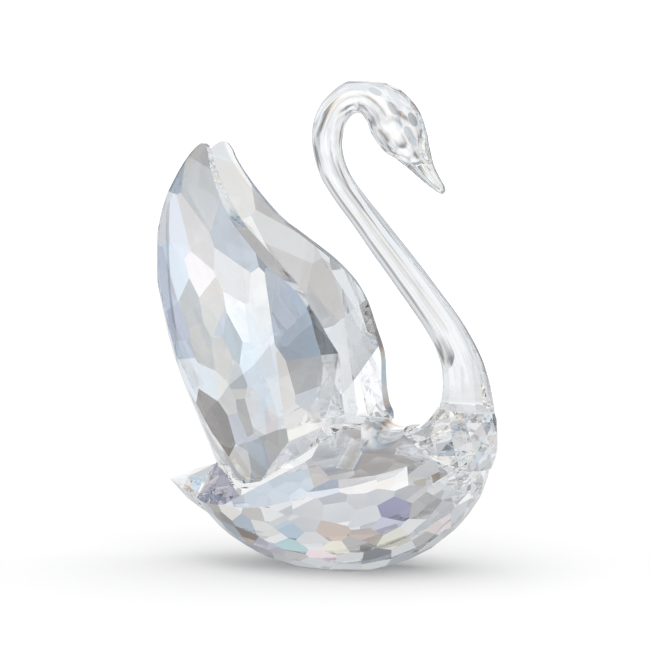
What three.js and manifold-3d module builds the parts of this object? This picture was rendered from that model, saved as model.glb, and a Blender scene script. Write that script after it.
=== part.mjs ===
// A clear cut-crystal swan, standing on the polished flat under its body.
// Five crystals are bonded face to face with thin films of clear adhesive:
// body, tail, two raised wings, and one crystal for chest, neck and head.
// Frame: +X forward (the way the swan faces), +Y to its left, +Z up.
// Origin: centre of the bounding box at floor level. Millimetres.

import * as THREE from 'three';
import { mergeVertices } from 'three/addons/utils/BufferGeometryUtils.js';
import { ConvexGeometry } from 'three/addons/geometries/ConvexGeometry.js';
import Module from 'manifold-3d';

const wasm = await Module();
wasm.setup();

// ---------------------------------------------------------------- dimensions
const BODY_CENTRE = [2.2, 0, 22];      // centre of the egg form the body is cut from
const BODY_HALF = [29.8, 18.9, 23];    // its half length behind the centre, half width, half height
const BODY_FRONT = 28.6;               // its half length in front of the centre
const BODY_FACETS = 238;               // cut facets below the rim
const FILM = 0.10;                     // cured adhesive film
const CLEAR = 0.05;                    // air left on each side of a film
const GAP = FILM + 2 * CLEAR;          // crystal to crystal
const TAIL_X = -21.3;                  // plane where the tail is bonded on
const NECK_BOND = { x: 21, z: 22.9, slope: -0.51 };  // sloping plane under the chest
const WING_ANGLE = Math.atan(0.30);    // each wing opens forwards by this angle
const WING_OFFSET = 11.5;              // wing middle plane from the swan's middle, at x = 0
const DECK_Z = 25.6;                   // highest part of the back, between the wings
const SADDLE = { x: 14.2, z: 24.75 };  // hollow of the back, behind the neck
// seat for the right wing: front, rear and outer points on the sloping plane
const SEAT_FRONT = [8, -9.5, 25.0];
const SEAT_REAR = [-20.8, -0.8, 16.5];
const SEAT_OUTER = [-7.8, -13.2, 14.1];

// neck and head: x, z of the centre line, half thickness in the middle plane, half width
const NECK = [
  [27.16, 28.68, 4.90, 4.93], [27.20, 29.63, 4.70, 4.73], [27.19, 30.85, 4.46, 4.50], [27.09, 32.17, 4.24, 4.26],
  [26.87, 33.71, 3.97, 4.00], [26.52, 35.39, 3.70, 3.74], [25.89, 37.19, 3.43, 3.48], [25.06, 38.95, 3.24, 3.30],
  [23.74, 41.29, 3.07, 3.13], [22.13, 43.53, 2.97, 3.04], [20.35, 45.75, 2.89, 2.96], [18.58, 47.90, 2.84, 2.90],
  [16.75, 50.09, 2.81, 2.88], [14.88, 52.32, 2.74, 2.80], [13.05, 54.44, 2.68, 2.74], [11.63, 56.07, 2.63, 2.69],
  [10.45, 57.45, 2.57, 2.63], [9.33, 58.80, 2.50, 2.56], [8.17, 60.16, 2.45, 2.50], [7.03, 61.45, 2.39, 2.45],
  [5.87, 62.78, 2.38, 2.43], [4.71, 64.14, 2.36, 2.41], [3.61, 65.51, 2.34, 2.39], [2.63, 66.87, 2.36, 2.41],
  [1.75, 68.39, 2.42, 2.46], [1.07, 70.02, 2.46, 2.50], [0.63, 71.65, 2.51, 2.53], [0.42, 73.27, 2.60, 2.61],
  [0.47, 75.14, 2.71, 2.70], [0.86, 76.90, 2.73, 2.70], [1.67, 78.54, 2.72, 2.67], [2.75, 79.86, 2.71, 2.66],
  [4.08, 80.91, 2.78, 2.70], [5.75, 81.55, 2.91, 2.81], [7.32, 81.60, 3.05, 2.92], [8.81, 81.31, 3.37, 3.19],
  [10.48, 80.51, 3.80, 3.53], [11.89, 79.41, 4.23, 3.84], [13.41, 77.44, 4.64, 4.08], [14.99, 74.93, 4.40, 3.83],
  [16.37, 73.10, 3.69, 3.20], [17.28, 71.83, 3.05, 2.62], [18.10, 70.66, 2.48, 2.13], [18.94, 69.50, 1.99, 1.75],
  [19.90, 68.33, 1.58, 1.42], [21.08, 67.11, 1.22, 1.14], [22.34, 65.93, 0.80, 0.78], [22.80, 65.50, 0.42, 0.42],
];
// chest: z, centre x, reach to the front, reach to the back, half width
const CHEST = [
  [14.0, 24.6, 4.9, 9.0, 9.0], [17.0, 25.1, 5.6, 9.4, 9.1], [19.5, 25.6, 5.85, 9.6, 9.1], [22.0, 26.1, 5.9, 9.8, 8.8],
  [23.6, 26.4, 5.8, 9.9, 8.1], [24.6, 26.6, 5.6, 9.6, 7.6], [25.5, 26.8, 5.4, 7.8, 6.9], [26.5, 27.0, 5.2, 6.5, 6.0],
  [27.6, 27.1, 5.0, 5.4, 5.2], [29.2, 27.1, 4.5, 4.6, 4.4],
];

// wing outline in the wing's own plane: s along the chord (forwards), z up
const WING_OUTLINE = [
  [-21.9, 16.6], [-22.8, 22.0], [-24.3, 25.9], [-26.2, 29.3], [-28.3, 33.1], [-30.5, 37.8], [-32.4, 42.4],
  [-33.4, 47.2], [-34.0, 52.0], [-33.7, 56.8], [-32.4, 61.2], [-30.5, 64.8], [-28.2, 68.4], [-25.8, 71.3],
  [-24.3, 72.6], [-23.2, 73.0], [-21.9, 72.2], [-20.8, 69.6], [-18.5, 65.9], [-16.0, 62.6], [-12.9, 59.2],
  [-9.8, 56.9], [-7.7, 55.3], [-5.3, 53.5], [-2.4, 51.2], [-0.2, 49.2], [1.3, 47.3], [2.6, 45.0],
  [3.4, 42.8], [4.1, 40.7], [4.9, 38.5], [5.5, 36.6], [5.7, 34.7], [5.7, 32.3], [5.8, 30.0], [6.3, 27.0], [7.5, 25.0],
];

// ------------------------------------------------------------------- helpers
function mulberry(seed) {
  return () => {
    seed = (seed + 0x6d2b79f5) | 0;
    let t = Math.imul(seed ^ (seed >>> 15), 1 | seed);
    t = (t + Math.imul(t ^ (t >>> 7), 61 | t)) ^ t;
    return ((t ^ (t >>> 14)) >>> 0) / 4294967296;
  };
}

function solid(geometry) {
  const g = geometry.clone();
  g.deleteAttribute('normal');
  g.deleteAttribute('uv');
  const m = mergeVertices(g, 1e-5);
  return new wasm.Manifold(new wasm.Mesh({
    numProp: 3,
    vertProperties: new Float32Array(m.attributes.position.array),
    triVerts: new Uint32Array(m.index.array),
  }));
}

function geometryOf(man) {
  const mesh = man.getMesh();
  const g = new THREE.BufferGeometry();
  g.setAttribute('position', new THREE.BufferAttribute(new Float32Array(mesh.vertProperties), 3));
  g.setIndex(new THREE.BufferAttribute(new Uint32Array(mesh.triVerts), 1));
  return g;
}

// a plane is { n, d }: the crystal keeps the side where n.p <= d
function planeAt(point, normal) {
  const n = normal.clone().normalize();
  return { n, d: n.dot(point) };
}
function planeThrough(a, b, c, out) {
  const pa = new THREE.Vector3(...a);
  const n = new THREE.Vector3(...b).sub(pa).cross(new THREE.Vector3(...c).sub(pa)).normalize();
  if (n.dot(new THREE.Vector3(...out)) < 0) n.negate();
  return planeAt(pa, n);
}
const mirrorPlane = (p) => ({ n: new THREE.Vector3(p.n.x, -p.n.y, p.n.z), d: p.d });
const flipPlane = (p) => ({ n: p.n.clone().negate(), d: -p.d });
const offsetPlane = (p, by) => ({ n: p.n, d: p.d + by });

// the solid box on the far side of a plane, ready to be taken away
function beyond(plane) {
  const g = new THREE.BoxGeometry(240, 240, 120);
  g.translate(0, 0, 60);
  const q = new THREE.Quaternion().setFromUnitVectors(new THREE.Vector3(0, 0, 1), plane.n);
  const at = plane.n.clone().multiplyScalar(plane.d);
  g.applyMatrix4(new THREE.Matrix4().compose(at, q, new THREE.Vector3(1, 1, 1)));
  return solid(g);
}
function cut(man, planes) {
  for (const p of planes) man = man.subtract(beyond(p));
  return man;
}

// evenly spread points: each new point is the candidate farthest from the rest
function spread(count, draw, size, rng, tries = 24, start = []) {
  const out = [...start];
  while (out.length < count + start.length) {
    let best = null;
    let far = -1;
    for (let i = 0; i < tries; i++) {
      const c = draw(rng);
      if (!c) continue;
      let near = Infinity;
      for (const o of out) near = Math.min(near, c.distanceTo(o) / size(c));
      if (near > far) { far = near; best = c; }
    }
    out.push(best);
  }
  return out.slice(start.length);
}

// closed tube through rings of points
function loft(rings) {
  const n = rings[0].length;
  const pos = [];
  for (const ring of rings) for (const p of ring) pos.push(p.x, p.y, p.z);
  const idx = [];
  for (let r = 0; r + 1 < rings.length; r++) {
    for (let i = 0; i < n; i++) {
      const a = r * n + i, b = r * n + ((i + 1) % n), c = a + n, d = b + n;
      idx.push(a, b, d, a, d, c);
    }
  }
  for (const [r, turn] of [[0, 1], [rings.length - 1, -1]]) {
    const mid = rings[r].reduce((s, p) => s.add(p), new THREE.Vector3()).multiplyScalar(1 / n);
    const m = pos.length / 3;
    pos.push(mid.x, mid.y, mid.z);
    for (let i = 0; i < n; i++) {
      const a = r * n + i, b = r * n + ((i + 1) % n);
      if (turn > 0) idx.push(m, b, a); else idx.push(m, a, b);
    }
  }
  const g = new THREE.BufferGeometry();
  g.setAttribute('position', new THREE.Float32BufferAttribute(pos, 3));
  g.setIndex(idx);
  return g;
}
function closed(geometry) {
  const m = solid(geometry);
  if (m.volume() > 0) return m;
  const g = geometry.clone();
  const a = Array.from(g.index.array);
  for (let i = 0; i < a.length; i += 3) [a[i], a[i + 1]] = [a[i + 1], a[i]];
  g.setIndex(a);
  return solid(g);
}

// --------------------------------------------------------------- bond planes
const seatR = planeThrough(SEAT_FRONT, SEAT_REAR, SEAT_OUTER, [0, -1, 1]);
const seatL = mirrorPlane(seatR);
const neckBond = planeAt(
  new THREE.Vector3(NECK_BOND.x, 0, NECK_BOND.z),
  new THREE.Vector3(-NECK_BOND.slope, 0, 1),
);
const tailBond = planeAt(new THREE.Vector3(TAIL_X, 0, 12), new THREE.Vector3(-1, 0, 0));

// ---------------------------------------------------------------------- body
const [bx, by, bz] = BODY_CENTRE;
const [ba, bb, bc] = BODY_HALF;
const long = (x) => (x > 0 ? BODY_FRONT : ba);
const onEgg = (x, y, z) => new THREE.Vector3(bx + long(x) * x, by + bb * y, bz + bc * z);
const eggNormal = (p) => new THREE.Vector3((p.x - bx) / long(p.x - bx) ** 2, (p.y - by) / bb ** 2, (p.z - bz) / bc ** 2).normalize();

function bodyFacets() {
  const rng = mulberry(20417);
  const draw = (r) => {
    const z = -r() * 1.0, a = r() * Math.PI * 2, q = Math.sqrt(1 - z * z);
    const p = onEgg(q * Math.cos(a), q * Math.sin(a), z);
    // thinning keeps the density even over the egg's surface
    const stretch = Math.hypot(Math.cos(a) * q * bb * bc, Math.sin(a) * q * ba * bc, z * ba * bb) / (ba * bc);
    if (r() > stretch) return null;
    if (p.z < 0.4 || p.z > 21.5 || p.x < -25) return null;
    if (neckBond.n.dot(p) > neckBond.d + 1.5) return null;
    return p;
  };
  const size = (p) => THREE.MathUtils.clamp(THREE.MathUtils.mapLinear(p.x, -22, 4, 0.66, 1.0), 0.62, 1.0);
  const pts = spread(BODY_FACETS, draw, size, rng, 90);
  return pts.map((p) => {
    const n = eggNormal(p);
    n.x += (rng() - 0.5) * 0.035; n.y += (rng() - 0.5) * 0.035; n.z += (rng() - 0.5) * 0.035;
    const q = p.clone().addScaledVector(eggNormal(p), -rng() * 0.05);
    return planeAt(q, n);
  });
}

const deckFront = planeThrough([13.6, -11, 21.2], [11.1, -18, 16.3], [20.5, -8.5, 22.5], [0, -1, 1]);
const deckSide = planeThrough([-2.3, -17.1, 12.9], [9.0, -17.7, 15.9], [8.0, -10.7, 25.0], [0, -1, 1]);
const deckSideLow = planeAt(new THREE.Vector3(3.4, -15.1, 17.3), new THREE.Vector3(-0.27, -0.80, 0.53));
const rimBevel = [-0.45, -0.15, 0.15, 0.42, 0.66, 0.86].map((t) => {
  // narrow band just under the rim, along the side of the body
  const a = -Math.PI / 2 + t;
  const z = THREE.MathUtils.mapLinear(t, -0.45, 0.86, -0.38, -0.20);
  const q = Math.sqrt(1 - z * z);
  const p = onEgg(q * Math.cos(a), q * Math.sin(a), z);
  const n = eggNormal(p);
  n.z += 0.30;
  return planeAt(p.addScaledVector(eggNormal(p), -0.42), n);
});

// height of the smooth hollow of the back: it runs out into the flat deck facets at its sides
const heightOn = (p, x, y) => (p.d - p.n.x * x - p.n.y * y) / p.n.z;
function saddleSide(x) {
  return x < 13.6 ? THREE.MathUtils.mapLinear(x, 8, 13.6, 10.7, 11) : THREE.MathUtils.mapLinear(x, 13.6, 20.5, 11, 8.5);
}
function saddleZ(x, y) {
  const side = saddleSide(x);
  const mid = SADDLE.z + (x - SADDLE.x) ** 2 / 14;
  const rise = x < 12.5 ? (12.5 - x) ** 2 / 5 : 0;   // the hollow fades out into the flat deck behind it
  const edge = Math.min(heightOn(deckSide, x, -side) + rise, heightOn(deckFront, x, -side) + rise, mid);
  return mid + (edge - mid) * (y / side) ** 2;
}
function saddleCutter() {
  const nx = 24, ny = 24, x0 = 7.2, x1 = 23.5, top = 60;
  const pos = [], idx = [];
  for (let i = 0; i <= nx; i++) for (let j = 0; j <= ny; j++) {
    const x = x0 + (x1 - x0) * i / nx, y = saddleSide(x) * (2 * j / ny - 1);
    pos.push(x, y, saddleZ(x, y));
  }
  const base = pos.length / 3;
  for (let i = 0; i <= nx; i++) for (let j = 0; j <= ny; j++) {
    const x = x0 + (x1 - x0) * i / nx;
    pos.push(x, saddleSide(x) * (2 * j / ny - 1), top);
  }
  const id = (i, j) => i * (ny + 1) + j;
  for (let i = 0; i < nx; i++) for (let j = 0; j < ny; j++) {
    const a = id(i, j), b = id(i + 1, j), c = id(i + 1, j + 1), d = id(i, j + 1);
    idx.push(a, c, b, a, d, c);
    idx.push(base + a, base + b, base + c, base + a, base + c, base + d);
  }
  const wall = (a, b) => idx.push(a, b, base + b, a, base + b, base + a);
  for (let i = 0; i < nx; i++) { wall(id(i, 0), id(i + 1, 0)); wall(id(i + 1, ny), id(i, ny)); }
  for (let j = 0; j < ny; j++) { wall(id(nx, j), id(nx, j + 1)); wall(id(0, j + 1), id(0, j)); }
  const g = new THREE.BufferGeometry();
  g.setAttribute('position', new THREE.Float32BufferAttribute(pos, 3));
  g.setIndex(idx);
  return closed(g);
}

function makeBody() {
  const block = new THREE.BoxGeometry(90, 60, 60);
  block.translate(0, 0, 20);
  let b = solid(block);
  b = cut(b, [
    planeAt(new THREE.Vector3(0, 0, 0), new THREE.Vector3(0, 0, -1)),
    planeAt(new THREE.Vector3(0, 0, DECK_Z), new THREE.Vector3(0, 0, 1)),
    tailBond, neckBond, seatR, seatL,
    deckFront, mirrorPlane(deckFront), deckSide, mirrorPlane(deckSide), deckSideLow, mirrorPlane(deckSideLow),
    ...rimBevel, ...rimBevel.map(mirrorPlane),
    ...bodyFacets(),
  ]);
  return b.subtract(saddleCutter());
}

// ---------------------------------------------------------------------- tail
function makeTail() {
  const half = [
    [TAIL_X, 0, 16.6], [TAIL_X, 4.4, 14.3], [TAIL_X, 7.4, 11.5], [TAIL_X, 6.2, 9.3], [TAIL_X, 3.4, 8.1], [TAIL_X, 0, 7.7],
    [-25.6, 0, 15.35], [-25.4, 3.1, 14.25], [-26.0, 4.1, 12.2], [-25.6, 3.0, 10.4], [-25.2, 0, 9.8],
    [-28.6, 0, 14.2], [-28.6, 1.5, 13.4], [-28.8, 1.3, 12.4],
    [-30.8, 0, 13.35], [-30.5, 0.32, 13.2], [-30.4, 0, 12.95],
  ];
  const pts = [];
  for (const [x, y, z] of half) {
    pts.push(new THREE.Vector3(x, y, z));
    if (y > 0) pts.push(new THREE.Vector3(x, -y, z));
  }
  return cut(solid(new ConvexGeometry(pts)), [flipPlane(offsetPlane(tailBond, GAP))]);
}

// --------------------------------------------------------------------- wings
const WC = Math.cos(WING_ANGLE), WS = Math.sin(WING_ANGLE);
// wing space (s, n, z) to the swan's frame, for the right wing; n points outwards
const toSwan = (s, n, z) => new THREE.Vector3(s * WC - n * WS, -(WING_OFFSET + s * WS + n * WC), z);
const dirToSwan = (s, n, z) => new THREE.Vector3(s * WC - n * WS, -(s * WS + n * WC), z);

const softMin = (v, t) => {
  const m = Math.min(...v);
  return m - t * Math.log(v.reduce((a, x) => a + Math.exp(-(x - m) / t), 0));
};
// the wing's long axis leans back: q is the distance from it, along the chord
const fromAxis = (s, z) => s + 6 + 0.34 * (z - 46);
// outer face: how far it stands out at (s, z)
function outerHeight(s, z) {
  const feather = 3.4 - 0.055 * (z - 46);
  const rearRoot = 6.3 + 0.38 * (s + 7) + 0.31 * (z - 14.1);
  const front = 11.5 - 0.74 * s - 0.225 * z;
  const upper = 3.35 - 0.042 * (s + 4.4) - 0.118 * (z - 46);
  const trail = 2.9 + 0.40 * (s + 34.0 - 0.0135 * (z - 51) ** 2);
  return softMin([feather, rearRoot, front, upper, trail], 0.16) - fromAxis(s, z) ** 2 / 220 - (z - 44) ** 2 / 520;
}
const frontChamfer = planeAt(
  toSwan(1, 4.2, 22),
  dirToSwan(2.19, 1, -2.26),
);
// inner face: the hollow that is ground into it, as a height at (s, z)
function innerHeight(s, z) {
  const flat = -1.05;
  const root = -0.9 + 0.36 * (z - 46.5) - 0.30 * (s - 3);
  return softMin([flat, root], 0.3) + 0.1 - (fromAxis(s, z) + 6) ** 2 / 300 - (z - 50) ** 2 / 620;
}
function tangent(f, s, z, tilt, rng) {
  const e = 0.02;
  const ds = (f(s + e, z) - f(s - e, z)) / (2 * e) + (rng() - 0.5) * tilt;
  const dz = (f(s, z + e) - f(s, z - e)) / (2 * e) + (rng() - 0.5) * tilt;
  return planeAt(toSwan(s, f(s, z), z), dirToSwan(-ds, 1, -dz));
}

function wingPrism() {
  const curve = new THREE.SplineCurve(WING_OUTLINE.map(([s, z]) => new THREE.Vector2(s, z)));
  const pts = curve.getPoints(64);
  pts.push(new THREE.Vector2(8.6, 20), new THREE.Vector2(8.6, 4), new THREE.Vector2(-21.9, 4));
  const g = new THREE.ExtrudeGeometry(new THREE.Shape(pts), { depth: 26, bevelEnabled: false, steps: 1 });
  g.translate(0, 0, -13);
  const p = g.attributes.position;
  for (let i = 0; i < p.count; i++) {
    const q = toSwan(p.getX(i), p.getZ(i), p.getY(i));
    p.setXYZ(i, q.x, q.y, q.z);
  }
  g.setIndex(null);
  g.deleteAttribute('normal');
  g.deleteAttribute('uv');
  return closed(mergeVertices(g, 1e-5));
}

function wingCutter() {
  // a convex block on the inner side whose faces leave the hollow
  const rng = mulberry(733);
  const block = new THREE.BoxGeometry(120, 60, 140);
  const p = block.attributes.position;
  for (let i = 0; i < p.count; i++) {
    const q = toSwan(p.getX(i) - 12, p.getY(i) - 29, p.getZ(i) + 40);
    p.setXYZ(i, q.x, q.y, q.z);
  }
  let c = closed(mergeVertices((() => { const b = block.clone(); b.deleteAttribute('normal'); b.deleteAttribute('uv'); return b; })(), 1e-5));
  const draw = (r) => {
    const s = -36 + 44 * r(), z = 18 + 56 * r();
    return Math.abs(fromAxis(s, z) + 6) > 24 ? null : new THREE.Vector3(s, 0, z);
  };
  const size = (v) => (v.z > 52 ? 1.35 : 1.0);
  const pts = spread(34, draw, size, rng, 20);
  return cut(c, pts.map((v) => tangent(innerHeight, v.x, v.z, 0.016, rng)));
}

function makeWing() {
  const rng = mulberry(90211);
  let w = wingPrism();
  // large facets above the ridge, small ones below it
  const above = (s, z) => z - 46 > (-(s + 4.4)) * 0.62;
  const draw = (r) => {
    const s = -35 + 44 * r(), z = 13 + 61 * r();
    if (Math.abs(fromAxis(s, z) + 5) > 23) return null;
    return above(s, z) && r() > 0.30 ? null : new THREE.Vector3(s, 0, z);
  };
  const size = (v) => (above(v.x, v.z) ? 1.8 : v.z < 32 ? 0.85 : 1.05);
  const pts = spread(80, draw, size, rng, 30);
  const planes = pts.map((v) => tangent(outerHeight, v.x, v.z, 0.018, rng));
  planes.push(frontChamfer);
  planes.push(planeAt(new THREE.Vector3(0, -0.6, 0), new THREE.Vector3(0, 1, 0)));
  planes.push(planeAt(toSwan(0, -6.4, 30), dirToSwan(0.10, -1, 0.05)));
  planes.push(flipPlane(offsetPlane(seatR, GAP)));
  w = cut(w, planes);
  return w.subtract(wingCutter());
}

function mirrorY(man) {
  const g = geometryOf(man);
  const p = g.attributes.position;
  for (let i = 0; i < p.count; i++) p.setY(i, -p.getY(i));
  const a = Array.from(g.index.array);
  for (let i = 0; i < a.length; i += 3) [a[i], a[i + 1]] = [a[i + 1], a[i]];
  g.setIndex(a);
  return solid(g);
}

// ------------------------------------------------------------- neck and head
function sectionPoint(cx, cz, ux, uz, front, back, wide, a) {
  const c = Math.cos(a), s = Math.sin(a);
  const r = c >= 0 ? front : back;
  return new THREE.Vector3(cx + ux * r * c, wide * s, cz + uz * r * c);
}
function neckTube(sides, rings) {
  const mid = new THREE.CatmullRomCurve3(NECK.map(([x, z]) => new THREE.Vector3(x, 0, z)), false, 'centripetal');
  const sizes = new THREE.CatmullRomCurve3(NECK.map(([, , h, w]) => new THREE.Vector3(h, w, 0)), false, 'catmullrom', 0.5);
  const out = [];
  // from inside the chest up into the neck
  for (const [z, r] of [[16, 2.9], [22, 4.1], [26, 4.6]]) {
    const ring = [];
    for (let i = 0; i < sides; i++) ring.push(sectionPoint(27.0, z, 1, 0, r, r, r, i / sides * 2 * Math.PI));
    out.push(ring);
  }
  for (let k = 0; k < rings; k++) {
    const t = k / (rings - 1);
    const c = mid.getPoint(t), tan = mid.getTangent(t), q = sizes.getPoint(t);
    const ux = tan.z, uz = -tan.x;   // towards the front of the neck
    const ring = [];
    for (let i = 0; i < sides; i++) ring.push(sectionPoint(c.x, c.z, ux, uz, q.x, q.x, q.y, i / sides * 2 * Math.PI));
    out.push(ring);
  }
  return closed(loft(out));
}
function chestBlock() {
  // triangular facets: every other ring is turned by half a step
  const sides = 12;
  const curve = (z) => {
    let i = 0;
    while (i < CHEST.length - 2 && CHEST[i + 1][0] < z) i++;
    const t = (z - CHEST[i][0]) / (CHEST[i + 1][0] - CHEST[i][0]);
    return CHEST[i].map((v, k) => v + (CHEST[i + 1][k] - v) * t);
  };
  const levels = [14.0, 17.8, 21.2, 24.2, 26.6, 29.0];
  const pos = [], idx = [];
  levels.forEach((z, r) => {
    const [, cx, f, b, w] = curve(z);
    for (let i = 0; i < sides; i++) {
      const p = sectionPoint(cx, z, 1, 0, f, b, w, (i + (r % 2) / 2) / sides * 2 * Math.PI);
      pos.push(p.x, p.y, p.z);
    }
  });
  for (let r = 0; r + 1 < levels.length; r++) for (let i = 0; i < sides; i++) {
    const j = (i + 1) % sides, lo = r * sides, hi = lo + sides;
    if (r % 2 === 0) idx.push(lo + i, lo + j, hi + i, lo + j, hi + j, hi + i);
    else idx.push(lo + i, hi + j, hi + i, lo + i, lo + j, hi + j);
  }
  for (const [r, z] of [[0, levels[0]], [levels.length - 1, levels[levels.length - 1]]]) {
    const m = pos.length / 3;
    pos.push(26.6, 0, z);
    for (let i = 0; i < sides; i++) {
      const a = r * sides + i, b = r * sides + ((i + 1) % sides);
      if (r === 0) idx.push(m, b, a); else idx.push(m, a, b);
    }
  }
  const g = new THREE.BufferGeometry();
  g.setAttribute('position', new THREE.Float32BufferAttribute(pos, 3));
  g.setIndex(idx);
  return closed(g);
}
// flats ground on the crown and the back of the head, and along the beak
const headFlats = [];
function flatXZ(x, z, nx, nz, side = 0) {
  headFlats.push(planeAt(new THREE.Vector3(x, 0, z), new THREE.Vector3(nx, side, nz)));
  if (side) headFlats.push(planeAt(new THREE.Vector3(x, 0, z), new THREE.Vector3(nx, -side, nz)));
}
flatXZ(6.4, 84.15, 0.03, 1);
flatXZ(0.4, 81.05, -0.66, 0.75);

function makeNeck() {
  let n = neckTube(26, 78);
  n = cut(n, headFlats);
  n = n.add(chestBlock());
  return cut(n, [flipPlane(offsetPlane(neckBond, GAP))]);
}

// ---------------------------------------------------------------- bond films
// the film fills the shared outline of two crystals between their flat faces
function film(upper, lower, plane) {
  const slab = (man, shift) => {
    // the crystal's own section, moved along the bond's normal so that it spans the film
    const n = plane.n.clone().multiplyScalar(shift);
    return man.translate([n.x, n.y, n.z]);
  };
  let f = slab(upper, -GAP * 1.5 - 0.6).intersect(slab(lower, GAP * 1.5 + 0.6));
  f = cut(f, [offsetPlane(plane, CLEAR + FILM), flipPlane(offsetPlane(plane, CLEAR))]);
  const parts = f.decompose().sort((a, b) => b.volume() - a.volume());
  return parts[0];
}

// ------------------------------------------------------------------ assembly
const glass = (color) => new THREE.MeshStandardMaterial({ color, roughness: 0.02, metalness: 0, transparent: true, opacity: 0.45 });
const GLASS = 0xe9eef2, GLUE = 0xf4f5f2;

const body = makeBody();
const tail = makeTail();
const wingRight = makeWing();
const wingLeft = mirrorY(wingRight);
const neck = makeNeck();

const pieces = {
  body: [body, GLASS],
  tail: [tail, GLASS],
  wing_right: [wingRight, GLASS],
  wing_left: [wingLeft, GLASS],
  neck_and_head: [neck, GLASS],
  tail_bond: [film(tail, body, tailBond), GLUE],
  neck_bond: [film(neck, body, neckBond), GLUE],
  wing_right_bond: [film(wingRight, body, seatR), GLUE],
  wing_left_bond: [film(wingLeft, body, seatL), GLUE],
};

const swan = new THREE.Group();
swan.name = 'crystal_swan';
for (const [name, [man, color]] of Object.entries(pieces)) {
  const mesh = new THREE.Mesh(geometryOf(man), glass(color));
  mesh.name = name;
  swan.add(mesh);
}

// put the origin under the centre of the bounding box, on the floor
const box = new THREE.Box3().setFromObject(swan);
swan.position.set(-(box.min.x + box.max.x) / 2, -(box.min.y + box.max.y) / 2, -box.min.z);
swan.updateMatrixWorld(true);

export default swan;
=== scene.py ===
import math
import random
import bmesh
import bpy
from mathutils import Matrix, Vector
from mathutils.bvhtree import BVHTree


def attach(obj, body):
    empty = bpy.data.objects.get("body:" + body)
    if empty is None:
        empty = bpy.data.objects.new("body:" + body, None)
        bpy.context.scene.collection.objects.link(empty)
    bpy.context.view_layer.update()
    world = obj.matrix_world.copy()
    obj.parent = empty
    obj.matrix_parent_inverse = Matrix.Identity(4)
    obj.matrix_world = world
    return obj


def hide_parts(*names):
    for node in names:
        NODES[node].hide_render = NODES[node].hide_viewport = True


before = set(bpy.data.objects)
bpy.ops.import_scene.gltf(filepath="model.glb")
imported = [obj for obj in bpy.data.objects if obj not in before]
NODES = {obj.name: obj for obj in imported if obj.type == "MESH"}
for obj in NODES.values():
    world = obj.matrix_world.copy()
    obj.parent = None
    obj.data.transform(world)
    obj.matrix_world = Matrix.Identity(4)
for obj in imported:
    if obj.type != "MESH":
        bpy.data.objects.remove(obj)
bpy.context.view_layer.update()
scene = bpy.context.scene

# ------------------------------------------------------------------ camera
AZIMUTH, ELEVATION = math.radians(27.0), math.radians(5.2)
DISTANCE = 0.90                       # far enough that the view is nearly parallel
FIELD = 0.11278                       # width of the view at the figurine, m
TARGET = Vector((0.000138, -0.000027, 0.04177))

cam_data = bpy.data.cameras.new("camera")
cam = bpy.data.objects.new("camera", cam_data)
scene.collection.objects.link(cam)
back = Vector((math.sin(AZIMUTH) * math.cos(ELEVATION),
               -math.cos(AZIMUTH) * math.cos(ELEVATION),
               math.sin(ELEVATION)))
cam.rotation_mode = "QUATERNION"
cam.location = TARGET + back * DISTANCE
cam.rotation_quaternion = (-back).to_track_quat("-Z", "Y")
cam_data.sensor_width = 36.0
cam_data.lens = 36.0 * DISTANCE / FIELD
cam_data.clip_start, cam_data.clip_end = 0.05, 20.0
scene.camera = cam

# ------------------------------------------------------------------ node help
def new_material(name):
    m = bpy.data.materials.new(name)
    m.use_nodes = True
    m.node_tree.nodes.clear()
    return m, m.node_tree


def add(tree, kind, **values):
    n = tree.nodes.new(kind)
    for k, v in values.items():
        if k in n.inputs:
            n.inputs[k].default_value = v
        else:
            setattr(n, k, v)
    return n


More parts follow.
